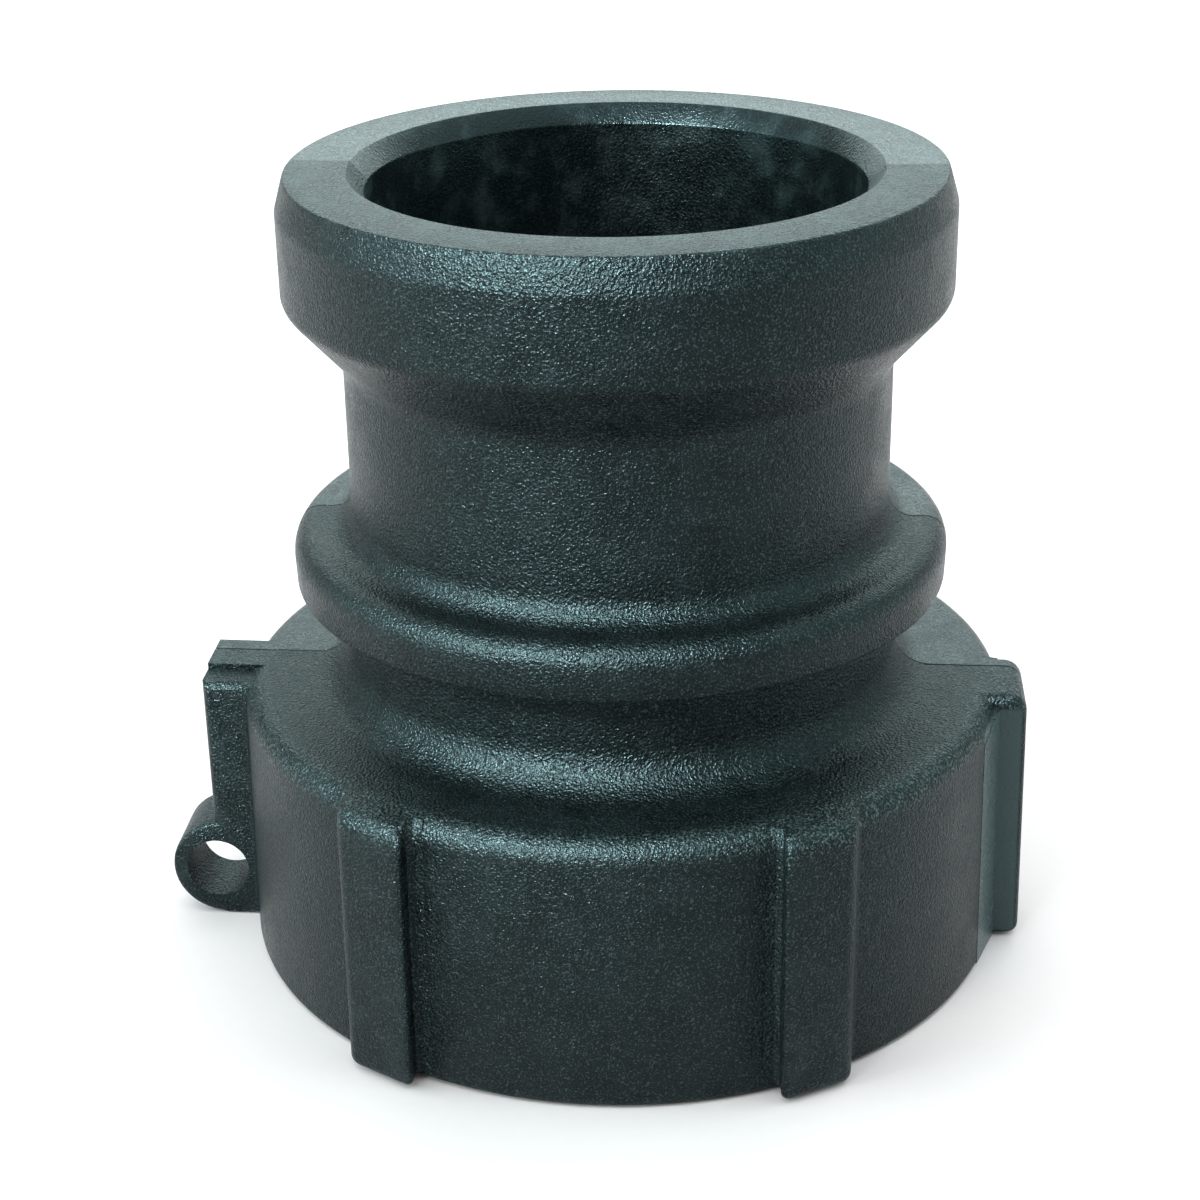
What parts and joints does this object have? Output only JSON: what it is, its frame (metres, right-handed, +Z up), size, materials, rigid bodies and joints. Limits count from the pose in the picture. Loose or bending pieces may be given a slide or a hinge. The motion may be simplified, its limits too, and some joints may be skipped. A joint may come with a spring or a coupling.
{
  "type": "camlock adapter",
  "caption": "Moulded camlock adapter: male cam head with a deep cam groove over a ribbed skirt with a coarse female tank thread and a strap lug with an eyelet.",
  "frame": {"origin": "centre of the open base face, on the axis of the waterway and of the tank thread", "axes": "+Z up along the waterway towards the cam head; the strap lug points along -X; the mould's parting plane is the XZ plane and -Y is the front"},
  "size_m": [0.0867, 0.0762, 0.0776],
  "materials": {
    "moulded_plastic": "black glass-filled polypropylene with a fine spark-eroded grain, satin",
    "gasket_rubber": "black nitrile rubber, dull"
  },
  "bodies": {
    "adapter": {"adapter_body": "moulded_plastic"},
    "gasket": {"thread_gasket": "gasket_rubber"}
  },
  "joints": [
    {"name": "gasket_slide", "type": "slide", "parent": "adapter", "child": "gasket", "axis": [0, 0, -1], "range_m": [0, 0.03]}
  ]
}
